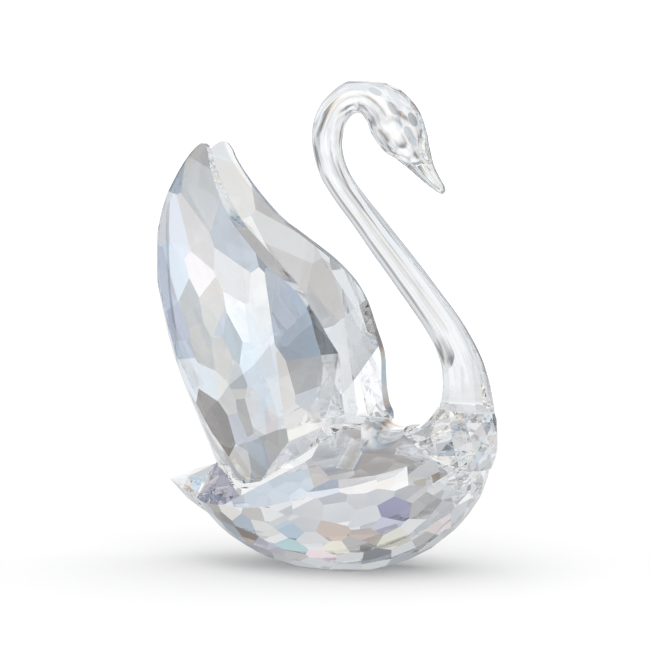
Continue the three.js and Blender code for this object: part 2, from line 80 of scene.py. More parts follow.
# ------------------------------------------------------------------ materials
def crystal(name, ior=1.54, coat_ior=3.2, edge=None, wave=0.0, size=150.0, rough=0.0):
    """Polished lead crystal. Each facet's painted tone, which stands in for the reflections, shade and colour fringes
    of the clear glass, and its gloss are stored on the mesh and act only where light enters from the air side; a slight
    waviness from the polishing wheel bends what is seen inside a facet."""
    m, t = new_material(name)
    out = add(t, "ShaderNodeOutputMaterial")
    p = add(t, "ShaderNodeBsdfPrincipled")
    p.inputs["Roughness"].default_value = rough
    p.inputs["IOR"].default_value = ior
    p.inputs["Transmission Weight"].default_value = 1.0
    p.inputs["Coat Roughness"].default_value = 0.0
    p.inputs["Coat IOR"].default_value = coat_ior
    geo = add(t, "ShaderNodeNewGeometry")
    # the painted tone of each facet, standing in for the reflections and shade it shows
    cut = add(t, "ShaderNodeAttribute", attribute_name="facet_painted_tone")
    tint = cut.outputs["Color"]
    # painted shade: the tone is multiplied darker towards the outline, by Layer Weight facing
    if edge:
        lw = add(t, "ShaderNodeLayerWeight", Blend=0.5)
        ramp = add(t, "ShaderNodeValToRGB")
        e = ramp.color_ramp.elements
        e[0].position, e[0].color = edge[0][0], (*edge[0][1], 1)
        e[1].position, e[1].color = edge[-1][0], (*edge[-1][1], 1)
        for at, c in edge[1:-1]:
            e.new(at).color = (*c, 1)
        t.links.new(lw.outputs["Facing"], ramp.inputs[0])
        rim_shade = add(t, "ShaderNodeMix", data_type="RGBA", blend_type="MULTIPLY")
        rim_shade.inputs[0].default_value = 1.0
        t.links.new(tint, rim_shade.inputs[6])
        t.links.new(ramp.outputs[0], rim_shade.inputs[7])
        tint = rim_shade.outputs[2]
    # the painted tone shows on faces seen from the air side; faces seen from inside take a faint blue glass tint
    mc = add(t, "ShaderNodeMix", data_type="RGBA")
    mc.inputs[7].default_value = (0.955, 0.978, 1.0, 1)
    t.links.new(geo.outputs["Backfacing"], mc.inputs[0])
    t.links.new(tint, mc.inputs[6])
    t.links.new(mc.outputs[2], p.inputs["Base Color"])
    front = add(t, "ShaderNodeMath", operation="SUBTRACT")
    front.inputs[0].default_value = 1.0
    t.links.new(geo.outputs["Backfacing"], front.inputs[1])
    gloss = add(t, "ShaderNodeMath", operation="MULTIPLY")
    t.links.new(front.outputs[0], gloss.inputs[0])
    t.links.new(cut.outputs["Alpha"], gloss.inputs[1])
    t.links.new(gloss.outputs[0], p.inputs["Coat Weight"])
    if wave:
        tc = add(t, "ShaderNodeTexCoord")
        no = add(t, "ShaderNodeTexNoise", Scale=size, Detail=1.0, Roughness=0.4)
        bu = add(t, "ShaderNodeBump", Strength=1.0, Distance=wave)
        t.links.new(tc.outputs["Object"], no.inputs["Vector"])
        t.links.new(no.outputs[0], bu.inputs["Height"])
        t.links.new(bu.outputs[0], p.inputs["Normal"])
    t.links.new(p.outputs[0], out.inputs["Surface"])
    return m


def resin(name, ior, tint):
    m, t = new_material(name)
    out = add(t, "ShaderNodeOutputMaterial")
    p = add(t, "ShaderNodeBsdfPrincipled")
    p.inputs["Roughness"].default_value = 0.0
    p.inputs["IOR"].default_value = ior
    p.inputs["Transmission Weight"].default_value = 1.0
    tc = add(t, "ShaderNodeTexCoord")
    no = add(t, "ShaderNodeTexNoise", Scale=900.0, Detail=2.0)
    ra = add(t, "ShaderNodeMix", data_type="RGBA")
    ra.inputs[6].default_value = (*tint, 1)
    ra.inputs[7].default_value = (1, 1, 1, 1)
    t.links.new(tc.outputs["Object"], no.inputs["Vector"])
    t.links.new(no.outputs[0], ra.inputs[0])
    t.links.new(ra.outputs[2], p.inputs["Base Color"])
    t.links.new(p.outputs[0], out.inputs["Surface"])
    return m


# painted tones that stand in for the reflections, shade and colour fringes of clear crystal, set as what one crossing
# of a facet lets through; the last value is how strongly the facet mirrors the room
PAINTED_FACET_TONES = {
    "clear": (0.985, 0.99, 1.0, 1.0), "pale": (0.91, 0.925, 0.94, 1.0), "mist": (0.86, 0.87, 0.90, 1.0), "ice": (0.84, 0.91, 0.97, 1.0),
    "silver": (0.76, 0.78, 0.80, 1.0), "ash": (0.68, 0.685, 0.70, 0.9), "linen": (0.88, 0.86, 0.81, 1.0), "beige": (0.78, 0.73, 0.66, 0.9), "taupe": (0.62, 0.60, 0.57, 0.8),
    "stone": (0.56, 0.55, 0.53, 0.7), "slate": (0.70, 0.74, 0.84, 0.9), "steel": (0.52, 0.58, 0.66, 0.7), "smoke": (0.45, 0.45, 0.46, 0.5),
    "graphite": (0.28, 0.32, 0.37, 0.3), "umber": (0.36, 0.33, 0.31, 0.35), "cream": (0.93, 0.90, 0.76, 1.0), "rose": (0.92, 0.84, 0.85, 1.0),
    "pink": (0.92, 0.76, 0.80, 1.0), "lavender": (0.70, 0.70, 0.86, 0.9), "violet": (0.52, 0.48, 0.70, 0.5), "indigo": (0.42, 0.42, 0.60, 0.4),
    "azure": (0.56, 0.68, 0.80, 0.7), "teal": (0.48, 0.68, 0.70, 0.6), "clay": (0.70, 0.58, 0.50, 0.7),
}
# painted shade: the neck's tone darkens towards its outline, by how slanting the surface is seen
PAINTED_RIM_SHADE = [(0.0, (1.0, 1.0, 1.0)), (0.45, (0.93, 0.94, 0.955)), (0.72, (0.62, 0.64, 0.67)), (0.90, (0.40, 0.42, 0.45)), (1.0, (0.55, 0.57, 0.60))]
cut_crystal = crystal("cut_crystal", wave=0.00002)
chest_crystal = crystal("chest_crystal", ior=1.36, wave=0.00001)
drawn_crystal = crystal("drawn_crystal", coat_ior=2.2, edge=PAINTED_RIM_SHADE, wave=0.00001, rough=0.0)
bond_face = resin("bonded_face", 1.001, (0.995, 0.995, 0.99))
adhesive = resin("clear_adhesive", 1.03, (0.98, 0.98, 0.965))

# painted reflections and shade on the facets that stand out, by a point on each in mm, with the painted tone it gets
PAINTED_ACCENTS = {
    "wing_right": [
        ((-22.1, -4.3, 71.0), "silver"), ((-22.0, -5.3, 65.6), "silver"), ((-27.3, -3.2, 66.4), "steel"), ((-28.2, -3.5, 60.9), "slate"),
        ((-22.2, -6.3, 58.5), "clear"), ((-30.8, -2.4, 57.8), "clear"), ((-12.6, -9.9, 56.2), "steel"), ((-11.8, -10.9, 50.4), "clear"),
        ((-20.3, -7.7, 50.6), "rose"), ((-16.9, -9.4, 45.4), "silver"), ((-22.7, -6.8, 45.4), "taupe"), ((-27.4, -4.4, 51.3), "ice"),
        ((-29.7, -3.2, 47.8), "pale"), ((-26.2, -5.0, 41.7), "slate"), ((-20.2, -7.9, 38.4), "silver"), ((-24.1, -5.8, 35.1), "ice"),
        ((-14.4, -10.5, 37.2), "silver"), ((-11.2, -11.8, 39.1), "clear"), ((-11.5, -11.5, 43.7), "clear"), ((-6.1, -13.4, 42.0), "pale"),
        ((-5.9, -13.0, 47.9), "clear"), ((-7.7, -13.1, 35.1), "clear"), ((-4.0, -14.2, 36.7), "pale"), ((-10.6, -12.0, 32.8), "linen"),
        ((-18.1, -8.8, 33.1), "pale"), ((-18.3, -8.5, 29.3), "smoke"), ((-13.3, -10.8, 30.5), "linen"), ((-6.0, -13.6, 28.1), "clear"),
        ((-9.4, -12.3, 27.8), "clear"), ((-14.8, -9.8, 24.0), "umber"), ((-10.8, -11.5, 23.9), "stone"), ((-5.6, -13.4, 20.9), "slate"),
        ((-2.2, -14.6, 20.3), "clear"), ((-10.5, -11.2, 17.6), "clear"), ((-5.7, -13.2, 18.1), "stone"), ((-0.1, -15.5, 24.7), "clear"),
        ((-2.6, -14.7, 25.8), "rose"), ((-3.7, -14.4, 30.4), "pale"), ((1.0, -12.5, 43.9), "pale"), ((3.3, -13.3, 34.3), "beige"),
        ((4.4, -13.7, 29.8), "ice"), ((2.3, -15.1, 25.6), "taupe"), ((-0.3, -14.5, 35.6), "silver"), ((-2.0, -14.9, 31.7), "clear"),
        ((-15.0, -10.3, 41.4), "steel"), ((-3.7, -13.1, 49.2), "silver"), ((-6.0, -12.2, 53.7), "graphite"),
        ((-21.5, -4.5, 70.9), "ash"), ((-21.5, -5.6, 64.9), "ash"), ((-20.8, -6.6, 60.6), "ash"), ((-23.6, -5.9, 57.5), "ash"),
        ((-16.9, -9.4, 45.8), "taupe"), ((-22.7, -6.8, 45.4), "stone"), ((-20.1, -8.0, 38.4), "taupe"), ((-14.4, -10.5, 37.3), "taupe"),
        ((-18.8, -8.7, 41.7), "stone"), ((-16.3, -9.7, 41.0), "taupe"), ((-13.1, -11.0, 40.4), "taupe"), ((-26.6, -4.9, 45.4), "slate"),
        ((-13.1, -10.2, 53.0), "ash"), ((-16.6, -9.1, 26.7), "umber"), ((-10.6, -11.8, 27.1), "stone"), ((-19.7, -8.0, 33.4), "ice"),
        ((-10.2, -12.1, 32.7), "linen"), ((-5.0, -14.0, 33.1), "clear"), ((-5.5, -13.8, 27.8), "clear"), ((-10.5, -11.7, 23.6), "slate"),
        ((0.4, -14.6, 33.7), "clear"), ((3.9, -13.9, 29.6), "ice"), ((0.7, -15.6, 26.5), "linen"), ((6.7, -9.1, 35.8), "clear"),
        ((5.0, -11.8, 39.1), "graphite"), ((2.3, -11.8, 44.6), "steel"), ((1.9, -13.1, 38.6), "ice"),
    ],
    "wing_left": [
        ((-19.7, 4.1, 66.2), "pale"), ((-14.1, 6.1, 61.6), "steel"), ((-11.3, 7.0, 54.9), "silver"), ((-17.3, 5.3, 56.5), "clear"),
        ((-3.5, 9.2, 46.2), "taupe"), ((-0.9, 9.7, 49.6), "silver"), ((0.4, 9.0, 40.4), "pale"), ((3.2, 9.5, 42.2), "stone"),
        ((4.5, 7.4, 36.5), "silver"), ((4.6, 6.4, 29.9), "clear"), ((1.3, 6.4, 33.1), "clear"),
        ((-18.8, 4.7, 61.5), "clear"), ((-13.8, 6.3, 54.6), "clear"), ((-8.4, 7.9, 46.9), "clear"), ((-4.4, 8.9, 40.9), "clear"),
        ((-16.7, 5.2, 64.2), "taupe"), ((-12.1, 6.8, 58.7), "ash"), ((-8.7, 7.8, 54.4), "silver"), ((-7.0, 8.3, 49.5), "taupe"),
        ((-1.5, 9.7, 44.4), "ash"), ((1.2, 10.2, 46.2), "pale"), ((3.5, 9.2, 41.2), "stone"), ((0.5, 7.7, 36.5), "clear"),
        ((4.6, 6.5, 30.1), "clear"),
    ],
    "body": [
        ((-18.7, -5.9, 13.8), "silver"), ((-14.8, -10.1, 12.7), "rose"), ((-10.7, -13.9, 10.2), "cream"), ((-7.0, -14.3, 8.7), "azure"),
        ((-5.3, -14.5, 8.4), "clay"), ((-1.6, -14.9, 8.1), "azure"), ((-5.8, -11.8, 5.0), "lavender"), ((-0.5, -11.1, 3.4), "violet"),
        ((-2.8, -11.4, 4.1), "teal"), ((3.1, -13.0, 5.3), "rose"), ((6.7, -11.8, 4.3), "cream"), ((5.1, -16.3, 10.6), "linen"),
        ((12.3, -15.1, 10.8), "clear"), ((12.9, -13.6, 8.2), "azure"), ((20.0, -12.2, 11.7), "indigo"), ((23.7, -10.6, 13.6), "silver"),
        ((15.2, -11.2, 6.5), "clay"), ((16.4, -8.6, 4.8), "cream"), ((25.1, -10.3, 18.4), "rose"), ((7.3, -8.3, 1.6), "pink"),
        ((29.0, -3.5, 14.9), "steel"), ((5.9, -13.3, 20.1), "silver"), ((19.2, -12.5, 19.7), "pale"), ((4.0, -17.1, 14.6), "clear"),
        ((-2.3, -16.3, 12.5), "clear"), ((15.9, -15.6, 15.0), "clear"), ((-9.5, -13.6, 12.9), "clear"), ((9.6, -16.8, 13.0), "clear"),
        ((20.2, -8.8, 7.6), "steel"), ((22.8, -8.2, 9.4), "ice"), ((26.3, -7.4, 13.0), "pale"), ((2.2, -17.4, 12.8), "pale"),
        ((8.3, -8.3, 1.8), "clear"), ((-6.8, -15.0, 12.2), "clear"), ((27.0, -8.7, 16.9), "clear"), ((22.9, -12.2, 17.0), "clear"),
        ((-0.7, -14.9, 7.9), "azure"), ((6.7, -16.2, 10.6), "linen"), ((5.1, -14.3, 7.1), "rose"), ((7.0, -11.9, 4.5), "cream"),
        ((12.3, -14.7, 9.7), "clear"), ((13.0, -13.4, 8.0), "azure"), ((15.1, -11.4, 6.7), "clay"), ((16.1, -8.9, 4.8), "cream"),
        ((17.3, -6.9, 4.2), "steel"), ((20.1, -12.1, 11.7), "indigo"), ((23.7, -11.0, 14.2), "ash"), ((17.7, -14.6, 14.1), "clear"),
        ((19.2, -10.7, 8.6), "lavender"), ((-0.2, -11.1, 3.5), "violet"), ((-2.6, -11.5, 4.1), "teal"), ((-7.4, -9.3, 3.4), "steel"),
        ((-9.9, -14.6, 11.2), "cream"), ((-18.7, -5.9, 13.8), "silver"), ((-15.6, -10.1, 12.3), "rose"), ((-8.8, -12.3, 6.7), "clay"),
        ((-6.5, -14.5, 8.9), "azure"), ((6.3, -8.7, 1.6), "pink"), ((22.4, -10.0, 10.8), "stone"), ((12.3, -16.2, 13.1), "clear"),
        ((3.9, -17.0, 11.9), "clear"), ((-2.6, -16.4, 11.1), "pale"), ((-6.8, -15.0, 12.2), "clear"), ((15.5, -14.8, 12.3), "pale"),
        ((14.1, -15.9, 14.0), "clear"), ((9.6, -16.8, 13.0), "silver"), ((26.3, -7.4, 13.0), "ash"), ((25.8, -2.6, 9.1), "silver"),
        ((22.6, -3.9, 6.4), "stone"), ((19.4, -5.3, 4.7), "silver"), ((23.5, -7.6, 9.4), "clear"), ((27.7, -4.4, 12.8), "clear"),
        ((-3.9, -13.0, 6.1), "clear"), ((2.4, -14.0, 6.4), "clear"), ((-11.0, -13.3, 9.3), "stone"), ((-12.7, -13.0, 10.1), "clear"),
        ((-4.7, -14.5, 8.3), "clear"),
    ],
}


def bvh_of(o):
    bm = bmesh.new()
    bm.from_mesh(o.data)
    tree = BVHTree.FromBMesh(bm)
    bm.free()
    return tree


films = {n: bvh_of(o) for n, o in NODES.items() if n.endswith("_bond")}


def glued(p):
    for tree in films.values():
        hit, normal, _, dist = tree.find_nearest(p.center, 0.0004)
        if hit is not None and dist < 0.0001 and abs(normal.dot(p.normal)) > 0.985:
            return True
    return False


def crisp(me, angle):
    """Flat faces keep sharp edges; smooth ones meet softly unless they turn by more than `angle`."""
    bm = bmesh.new()
    bm.from_mesh(me)
    bm.normal_update()
    for e in bm.edges:
        fs = e.link_faces
        e.smooth = not (len(fs) == 2 and (not fs[0].smooth or not fs[1].smooth or e.calc_face_angle(0) > angle))
    bm.to_mesh(me)
    bm.free()


def facets(mesh):
    """Groups a crystal's polygons into its flat facets: [normal, offset, area, polygons]."""
    found = []
    for p in mesh.polygons:
        if p.use_smooth:
            continue
        d = p.normal.dot(p.center)
        for f in found:
            if f[0].dot(p.normal) > 0.99995 and abs(f[1] - d) < 0.00004:
                f[2] += p.area
                f[3].append(p)
                break
        else:
            found.append([p.normal.copy(), d, p.area, [p]])
    return found


def paint(mesh, colours):
    """Writes one painted tone per polygon, standing in for reflection and shade; a crossing there and back squares it.
    """
    layer = mesh.color_attributes.new("facet_painted_tone", "FLOAT_COLOR", "CORNER")
    for p in mesh.polygons:
        r, g, b, gloss = colours[p.index]
        for i in p.loop_indices:
            layer.data[i].color = (r * r, g * g, b * b, gloss)


def vary(rng, tint, by=0.09):
    k = 1.01 - rng.uniform(0, by)
    return tuple(min(1.0, c * k) for c in tint[:3]) + (tint[3],)


def cut_piece(node, seed, mix, smooth=None, band=None, calm=None):
    """The cut crystal in full: welded facets with crisp edges, smooth ground curves, one painted reflection-and-shade
    tone to each facet.
    """
    o = NODES[node]
    bm = bmesh.new()
    bm.from_mesh(o.data)
    bmesh.ops.transform(bm, matrix=o.matrix_world, verts=bm.verts)
    bmesh.ops.remove_doubles(bm, verts=bm.verts, dist=1e-7)
    bm.normal_update()
    for f in bm.faces:
        f.smooth = bool(smooth and smooth(f.calc_center_median() * 1000, f.normal, f.calc_area() * 1e6))
    me = bpy.data.meshes.new(node + "_cut")
    bm.to_mesh(me)
    bm.free()
    crisp(me, math.radians(38))
    piece = bpy.data.objects.new(node + "_cut", me)
    scene.collection.objects.link(piece)
    me.materials.append(cut_crystal)
    me.materials.append(bond_face)
    rng = random.Random(seed)
    colours = {}
    group = {}
    # each facet's painted tone is drawn at random from the mix
    for k, (n, d, area, ps) in enumerate(facets(me)):
        use = CALM if calm and n.dot(calm) < -0.2 else mix
        pick = rng.choices([m[0] for m in use], [m[1] for m in use])[0] if area > 1.5e-6 else "clear"
        tint = vary(rng, PAINTED_FACET_TONES[pick])
        for p in ps:
            colours[p.index] = tint
            group[p.index] = ps
    # the smooth ground curves take a painted band tone
    for p in me.polygons:
        if p.use_smooth:
            colours[p.index] = PAINTED_FACET_TONES[band(p.center * 1000) if band else "pale"]
    tree = BVHTree.FromPolygons([v.co for v in me.vertices], [tuple(p.vertices) for p in me.polygons])
    for point, pick in PAINTED_ACCENTS.get(node, []):
        _, _, index, _ = tree.find_nearest(Vector(point) * 0.001)
        tint = vary(rng, PAINTED_FACET_TONES[pick], 0.07)
        for p in group.get(index, []):
            colours[p.index] = tint
    for p in me.polygons:
        p.material_index = 1 if glued(p) else 0
    paint(me, colours)
    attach(piece, "root")
    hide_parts(node)
    return piece


# how often each painted reflection-and-shade tone is drawn, for the body and the wings' outer faces
MIX_BODY = [("clear", 9), ("pale", 2.5), ("silver", 2.5), ("ash", 1.8), ("ice", 1.2), ("rose", 0.7), ("cream", 0.8), ("slate", 0.8), ("stone", 1.2),
            ("steel", 0.7), ("azure", 0.6), ("lavender", 0.5), ("clay", 0.3)]
MIX_WING = [("clear", 6), ("pale", 3), ("silver", 3), ("ash", 2), ("mist", 1.5), ("ice", 1.5), ("linen", 1), ("slate", 0.8), ("taupe", 0.7), ("steel", 0.7), ("stone", 0.5)]
CALM = [("clear", 6), ("pale", 2), ("ice", 1)]      # painted tones for the wings' inner faces, mostly clear with little painted shade
WING_N = Vector((-0.28735, -0.95783, 0))      # square to the right wing's middle plane


def saddle(c, n, area):
    return area < 1.4 and n.z > 0.6 and 7.0 < c.x < 23.8 and abs(c.y) < 11.2 and c.z > 20


def edge_of(side):
    n = Vector((WING_N.x, WING_N.y * side, 0))
    return lambda c, f, area: abs(f.dot(n)) < 0.10 and c.z > 22


# painted reflections along the wing's smooth leading band: silver above 46 mm, a dark graphite stripe from 38 to 46 mm,
# pale below
def painted_band_shade(c):
    return "silver" if c.z > 46 else "graphite" if c.z > 38 else "pale"


cut_piece("body", 3, MIX_BODY, saddle)
cut_piece("wing_right", 5, MIX_WING, edge_of(1), painted_band_shade, WING_N)
# the far wing's band: painted reflection, silver above 50 mm, pale below
cut_piece("wing_left", 7, MIX_WING, edge_of(-1), lambda c: "silver" if c.z > 50 else "pale", Vector((WING_N.x, -WING_N.y, 0)))
cut_piece("tail", 9, [("clear", 1), ("pale", 2), ("silver", 3), ("steel", 1.2), ("ice", 1)])
for name in films:
    NODES[name].data.materials.clear()
    NODES[name].data.materials.append(adhesive)

# ------------------------------------------------------------------ neck, head and chest
# The drawn-glass crystal in full detail: round and smooth along the neck, ground flats on the crown,
# a ridge along the bill, long flutes where the neck leaves the chest and triangular facets on the chest.
# Its stations are the same as the frame's: x, z of the centre line, half thickness, half width, in mm.
ORIGIN = Vector((0.142839, -0.011766, 0.0))
NECK = [
    (27.16, 28.68, 4.90, 4.93), (27.20, 29.63, 4.70, 4.73), (27.19, 30.85, 4.46, 4.50), (27.09, 32.17, 4.24, 4.26),
    (26.87, 33.71, 3.97, 4.00), (26.52, 35.39, 3.70, 3.74), (25.89, 37.19, 3.43, 3.48), (25.06, 38.95, 3.24, 3.30),
    (23.74, 41.29, 3.07, 3.13), (22.13, 43.53, 2.97, 3.04), (20.35, 45.75, 2.89, 2.96), (18.58, 47.90, 2.84, 2.90),
    (16.75, 50.09, 2.81, 2.88), (14.88, 52.32, 2.74, 2.80), (13.05, 54.44, 2.68, 2.74), (11.63, 56.07, 2.63, 2.69),
    (10.45, 57.45, 2.57, 2.63), (9.33, 58.80, 2.50, 2.56), (8.17, 60.16, 2.45, 2.50), (7.03, 61.45, 2.39, 2.45),
    (5.87, 62.78, 2.38, 2.43), (4.71, 64.14, 2.36, 2.41), (3.61, 65.51, 2.34, 2.39), (2.63, 66.87, 2.36, 2.41),
    (1.75, 68.39, 2.42, 2.46), (1.07, 70.02, 2.46, 2.50), (0.63, 71.65, 2.51, 2.53), (0.42, 73.27, 2.60, 2.61),
    (0.47, 75.14, 2.71, 2.70), (0.86, 76.90, 2.73, 2.70), (1.67, 78.54, 2.72, 2.67), (2.75, 79.86, 2.71, 2.66),
    (4.08, 80.91, 2.78, 2.70), (5.75, 81.55, 2.91, 2.81), (7.32, 81.60, 3.05, 2.92), (8.81, 81.31, 3.37, 3.19),
    (10.48, 80.51, 3.80, 3.53), (11.89, 79.41, 4.23, 3.84), (13.41, 77.44, 4.64, 4.08), (14.99, 74.93, 4.40, 3.83),
    (16.37, 73.10, 3.69, 3.20), (17.28, 71.83, 3.05, 2.62), (18.10, 70.66, 2.48, 2.13), (18.94, 69.50, 1.99, 1.75),
    (19.90, 68.33, 1.58, 1.42), (21.08, 67.11, 1.22, 1.14), (22.34, 65.93, 0.80, 0.78), (22.80, 65.50, 0.42, 0.42),
]
CHEST = [
    (14.0, 24.6, 4.9, 9.0, 9.0), (17.0, 25.1, 5.6, 9.4, 9.1), (19.5, 25.6, 5.85, 9.6, 9.1), (22.0, 26.1, 5.9, 9.8, 8.8),
    (23.6, 26.4, 5.8, 9.9, 8.1), (24.6, 26.6, 5.6, 9.6, 7.6), (25.5, 26.8, 5.4, 7.8, 6.9), (26.5, 27.0, 5.2, 6.5, 6.0),
    (27.6, 27.1, 5.0, 5.4, 5.2), (29.2, 27.1, 4.5, 4.6, 4.4),
]
SIDES, RINGS, FLUTES = 120, 320, 12


def smoothstep(a, b, x):
    t = min(1.0, max(0.0, (x - a) / (b - a)))
    return t * t * (3 - 2 * t)


def cubic(x0, x1, t0, t1, w):
    return x0 + w * (t0 + w * ((-3 * x0 + 3 * x1 - 2 * t0 - t1) + w * (2 * x0 - 2 * x1 + t0 + t1)))


def curve_at(points, t, even):
    """Catmull-Rom through the points; `even` spaces its knots evenly, otherwise by the root of the chord."""
    n = len(points)
    p = (n - 1) * t
    i = min(int(p), n - 2)
    w = p - i
    a = points[i - 1] if i else [2 * u - v for u, v in zip(points[0], points[1])]
    d = points[i + 2] if i + 2 < n else [2 * u - v for u, v in zip(points[-1], points[-2])]
    b, c = points[i], points[i + 1]
    if even:
        return [cubic(q, r, 0.5 * (r - o_), 0.5 * (s - q), w) for o_, q, r, s in zip(a, b, c, d)]
    d0, d1, d2 = (max(math.dist(*m) ** 0.5, 1e-4) for m in ((a, b), (b, c), (c, d)))
    out = []
    for o_, q, r, s in zip(a, b, c, d):
        t1 = ((q - o_) / d0 - (r - o_) / (d0 + d1) + (r - q) / d1) * d1
        t2 = ((r - q) / d1 - (s - q) / (d1 + d2) + (s - r) / d2) * d1
        out.append(cubic(q, r, t1, t2, w))
    return out


def station(t):
    """Centre, forward direction of the section, half thickness and half width at t."""
    mid = [(x, z) for x, z, _, _ in NECK]
    size = [(h, w) for _, _, h, w in NECK]
    c = curve_at(mid, t, False)
    e = 1e-4
    p, q = curve_at(mid, max(0, t - e), False), curve_at(mid, min(1, t + e), False)
    d = Vector((q[0] - p[0], 0, q[1] - p[1])).normalized()
    h, w = curve_at(size, t, True)
    return Vector((c[0], 0, c[1])), Vector((d.z, 0, -d.x)), h, w


def ring_point(c, u, h, w, a, z_at, t):
    ca, sa = math.cos(a), math.sin(a)
    k = 1.0
    flute = 1 - smoothstep(31.0, 38.5, z_at)
    if t < 0.3 and flute > 0:              # long flats that run out up the neck
        step = 2 * math.pi / FLUTES
        m = ((a + step / 2) % step) - step / 2
        k *= 1 + flute * (math.cos(step / 2) / math.cos(m) - 1) * 0.9
    draw = smoothstep(0.10, 0.18, t) * (1 - smoothstep(0.56, 0.66, t))
    k *= 1 + draw * (0.006 * math.cos(5 * a + 0.8) + 0.004 * math.cos(9 * a + 2.1) + 0.0025 * math.cos(14 * a))   # faint drawing lines
    bill = smoothstep(0.80, 0.86, t) * (1 - smoothstep(0.975, 1.0, t))
    if bill > 0:
        b = math.degrees(abs(math.atan2(sa, ca)))                 # 0 under the bill, 180 along its top
        cheek = 14 + 76 * smoothstep(0.80, 0.935, t)              # the cheek's lower line, down to the tip
        k *= 1 - 0.085 * bill * (1 - smoothstep(cheek - 5, cheek + 3, b))
        top = 180 - 52 * smoothstep(0.84, 0.90, t)                # flat ground along each side of the top
        k *= 1 - 0.05 * bill * smoothstep(0.84, 0.90, t) * math.exp(-((b - top) / 16) ** 2)
    return c + u * (h * ca * k) + Vector((0, w * sa * k, 0))


def surface(t, a):
    """A point of the drawn form and its true outward normal."""
    def at(t_, a_):
        c, u, h, w = station(t_)
        return ring_point(c, u, h, w, a_, c.z, t_)
    p = at(t, a)
    n = (at(t + 0.002, a) - at(t - 0.002, a)).cross(at(t, a + 0.01) - at(t, a - 0.01)).normalized()
    if n.dot(p - station(t)[0]) < 0:
        n.negate()
    return p, n


def tube_mesh():
    bm = bmesh.new()
    rings = []
    for z, r in ((16, 2.9), (22, 4.1), (26, 4.6)):
        rings.append([bm.verts.new(Vector((27.0 + r * math.cos(2 * math.pi * i / SIDES), r * math.sin(2 * math.pi * i / SIDES), z))) for i in range(SIDES)])
    for k in range(RINGS):
        t = k / (RINGS - 1)
        c, u, h, w = station(t)
        rings.append([bm.verts.new(ring_point(c, u, h, w, 2 * math.pi * i / SIDES, c.z, t)) for i in range(SIDES)])
    for lo, hi in zip(rings, rings[1:]):
        for i in range(SIDES):
            j = (i + 1) % SIDES
            bm.faces.new((lo[i], lo[j], hi[j], hi[i])).smooth = True
    bm.faces.new(list(reversed(rings[0])))
    tip, _, _, _ = station(1.0)
    end = bm.verts.new(tip + (tip - station(0.985)[0]).normalized() * 0.12)
    for i in range(SIDES):
        bm.faces.new((rings[-1][i], rings[-1][(i + 1) % SIDES], end)).smooth = True
    bmesh.ops.recalc_face_normals(bm, faces=bm.faces)
    return bm


def slice_off(bm, point, normal, reach=None):
    """Takes away what lies beyond the plane and closes each cut with one flat facet."""
    n = normal.normalized()
    geom = bm.verts[:] + bm.edges[:] + bm.faces[:]
    if reach:
        near = [f for f in bm.faces if (f.calc_center_median() - point).length < reach]
        geom = list({v for f in near for v in f.verts}) + list({e for f in near for e in f.edges}) + near
    bmesh.ops.bisect_plane(bm, geom=geom, plane_co=point, plane_no=n, clear_outer=True, dist=2e-4)
    open_at = {}
    for e in bm.edges:
        if e.is_boundary:
            for v in e.verts:
                open_at.setdefault(v, []).append(e)
    used = set()
    for start in list(open_at):
        if start in used:
            continue
        loop, v, came = [], start, None
        while v not in used:
            used.add(v)
            loop.append(v)
            ahead = [e for e in open_at[v] if e is not came]
            if not ahead:
                break
            came = ahead[0]
            v = came.other_vert(v)
        if len(loop) > 2:
            f = bm.faces.new(loop)
            f.smooth = False
            f.normal_update()
            if f.normal.dot(n) < 0:
                f.normal_flip()


def chest_mesh():
    """Triangular facets: every other ring is turned by half a step."""
    sides = 12
    def row(z):
        i = 0
        while i < len(CHEST) - 2 and CHEST[i + 1][0] < z:
            i += 1
        t = (z - CHEST[i][0]) / (CHEST[i + 1][0] - CHEST[i][0])
        return [a + (b - a) * t for a, b in zip(CHEST[i], CHEST[i + 1])]
    bm = bmesh.new()
    levels = [14.0, 17.8, 21.2, 24.2, 26.6, 29.0]
    rings = []
    for r, z in enumerate(levels):
        _, cx, f, b, w = row(z)
        ring = []
        for i in range(sides):
            a = (i + (r % 2) / 2) / sides * 2 * math.pi
            ca = math.cos(a)
            ring.append(bm.verts.new(Vector((cx + (f if ca >= 0 else b) * ca, w * math.sin(a), z))))
        rings.append(ring)
    for r in range(len(levels) - 1):
        lo, hi = rings[r], rings[r + 1]
        for i in range(sides):
            j = (i + 1) % sides
            if r % 2 == 0:
                bm.faces.new((lo[i], lo[j], hi[i]))
                bm.faces.new((lo[j], hi[j], hi[i]))
            else:
                bm.faces.new((lo[i], hi[j], hi[i]))
                bm.faces.new((lo[i], lo[j], hi[j]))
    bm.faces.new(list(reversed(rings[0])))
    bm.faces.new(rings[-1])
    bmesh.ops.recalc_face_normals(bm, faces=bm.faces)
    return bm


def object_of(name, bm):
    me = bpy.data.meshes.new(name)
    bm.to_mesh(me)
    bm.free()
    o = bpy.data.objects.new(name, me)
    scene.collection.objects.link(o)
    return o


tube = tube_mesh()
# flats ground on the crown, one on top, the rest in pairs down to the root of the bill
slice_off(tube, Vector((6.4, 0, 84.15)), Vector((0.03, 0, 1)))
slice_off(tube, Vector((0.4, 0, 81.05)), Vector((-0.66, 0, 0.75)))
for t, lean, deep in ((0.575, 180, 0.05), (0.605, 158, 0.05), (0.64, 180, 0.05), (0.67, 156, 0.06), (0.70, 180, 0.06), (0.715, 152, 0.07), (0.735, 178, 0.07),
                      (0.752, 154, 0.08), (0.772, 180, 0.09), (0.785, 150, 0.09), (0.808, 180, 0.09), (0.822, 152, 0.08), (0.845, 180, 0.07), (0.862, 150, 0.07),
                      (0.760, 126, 0.05), (0.800, 124, 0.06), (0.715, 126, 0.04), (0.838, 126, 0.05)):
    for side in ((1, -1) if lean != 180 else (1,)):
        p, n = surface(t, math.radians(lean) * side)
        slice_off(tube, p - n * deep, n, 2.4)

